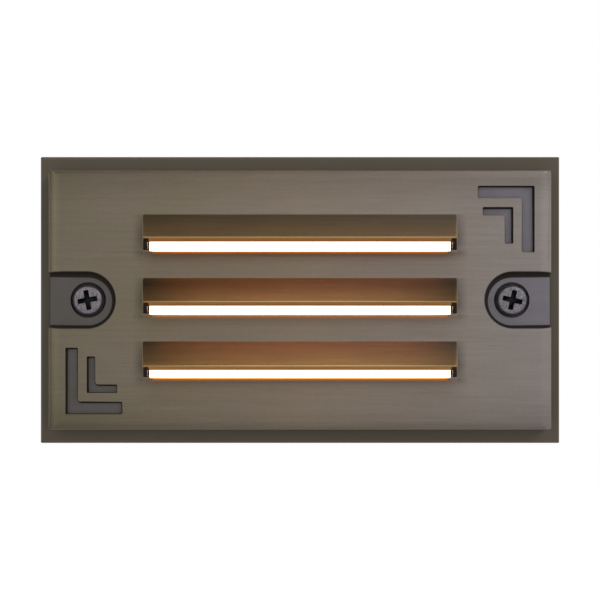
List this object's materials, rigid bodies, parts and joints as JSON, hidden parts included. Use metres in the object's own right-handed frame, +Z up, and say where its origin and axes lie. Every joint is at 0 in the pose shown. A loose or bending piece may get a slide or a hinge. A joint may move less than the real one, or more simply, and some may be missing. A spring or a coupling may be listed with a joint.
{
  "type": "step light",
  "caption": "Recessed step light: a louvred brushed bronze faceplate with a lit lens, screwed to a flanged wall box that holds LEDs, driver and terminals.",
  "frame": {"origin": "centre of the flange's rear face, on the wall's surface", "axes": "+X to the right along the light, +Y into the wall, +Z up; the lit face looks towards -Y"},
  "size_m": [0.145, 0.0736, 0.08],
  "materials": {
    "brushed_bronze": "brushed and toned antique bronze, clear coated",
    "bronze_coat": "die cast, dark bronze powder coat",
    "frosted_lens": "frosted on its inner side",
    "white_reflector": "white, semi-matte",
    "silicone_rubber": "soft black silicone",
    "retainer_steel": "pressed stainless sheet",
    "screw_steel": "stainless steel, toned",
    "zinc_steel": "zinc plated",
    "insert_brass": "machined",
    "board_white": "white solder mask on aluminium core",
    "led_phosphor": "yellow phosphor in a white package",
    "connector_plastic": "moulded, ivory",
    "thermal_grey": "soft grey gap filler",
    "tray_aluminium": "bent sheet, mill finish",
    "driver_plastic": "black, moulded",
    "potting_resin": "cast black resin",
    "lead_red": "red insulation",
    "lead_black": "black insulation",
    "lead_brown": "brown insulation",
    "lead_blue": "blue insulation",
    "terminal_plastic": "moulded, pale grey",
    "gland_plastic": "black nylon"
  },
  "bodies": {
    "wall_box": {"screw_inserts": "insert_brass", "back_box": "bronze_coat", "box_gasket": "silicone_rubber", "reflector": "white_reflector", "led_board": "board_white", "led_packages": "led_phosphor", "board_connector": "connector_plastic", "board_screws": "zinc_steel", "thermal_pad": "thermal_grey", "heat_tray": "tray_aluminium", "tray_screws": "zinc_steel", "driver_case": "driver_plastic", "driver_potting": "potting_resin", "driver_screws": "zinc_steel", "output_lead_positive": "lead_red", "output_lead_negative": "lead_black", "input_lead_line": "lead_brown", "input_lead_neutral": "lead_blue", "terminal_block": "terminal_plastic", "terminal_screws": "insert_brass", "earth_screw": "insert_brass", "earth_washer": "insert_brass", "gland_body": "gland_plastic", "gland_washer": "silicone_rubber", "gland_bush": "silicone_rubber", "gland_nut": "gland_plastic", "gland_lock_nut": "gland_plastic"},
    "face": {"faceplate": "brushed_bronze", "lens_gasket": "silicone_rubber", "lens": "frosted_lens", "lens_retainer": "retainer_steel", "retainer_screws": "zinc_steel"},
    "left_washer": {"left_seal_washer": "silicone_rubber"},
    "right_washer": {"right_seal_washer": "silicone_rubber"},
    "left_screw": {"left_face_screw": "screw_steel"},
    "right_screw": {"right_face_screw": "screw_steel"}
  },
  "joints": [
    {"name": "faceplate_lift", "type": "slide", "parent": "wall_box", "child": "face", "axis": [0, -1, 0], "range_m": [0, 0.04]},
    {"name": "left_screw_travel", "type": "slide", "parent": "face", "child": "left_washer", "axis": [0, -1, 0], "range_m": [0, 0.0091]},
    {"name": "left_screw_turn", "type": "hinge", "parent": "left_washer", "child": "left_screw", "pos_m": [-0.0585, 0, 0], "axis": [0, -1, 0], "range_deg": [0, 4680]},
    {"name": "right_screw_travel", "type": "slide", "parent": "face", "child": "right_washer", "axis": [0, -1, 0], "range_m": [0, 0.0091]},
    {"name": "right_screw_turn", "type": "hinge", "parent": "right_washer", "child": "right_screw", "pos_m": [0.0585, 0, 0], "axis": [0, -1, 0], "range_deg": [0, 4680]}
  ],
  "couplings": [
    {"joint": "left_screw_turn", "follows": "left_screw_travel", "rad_per_m": 8976},
    {"joint": "right_screw_turn", "follows": "right_screw_travel", "rad_per_m": 8976}
  ]
}
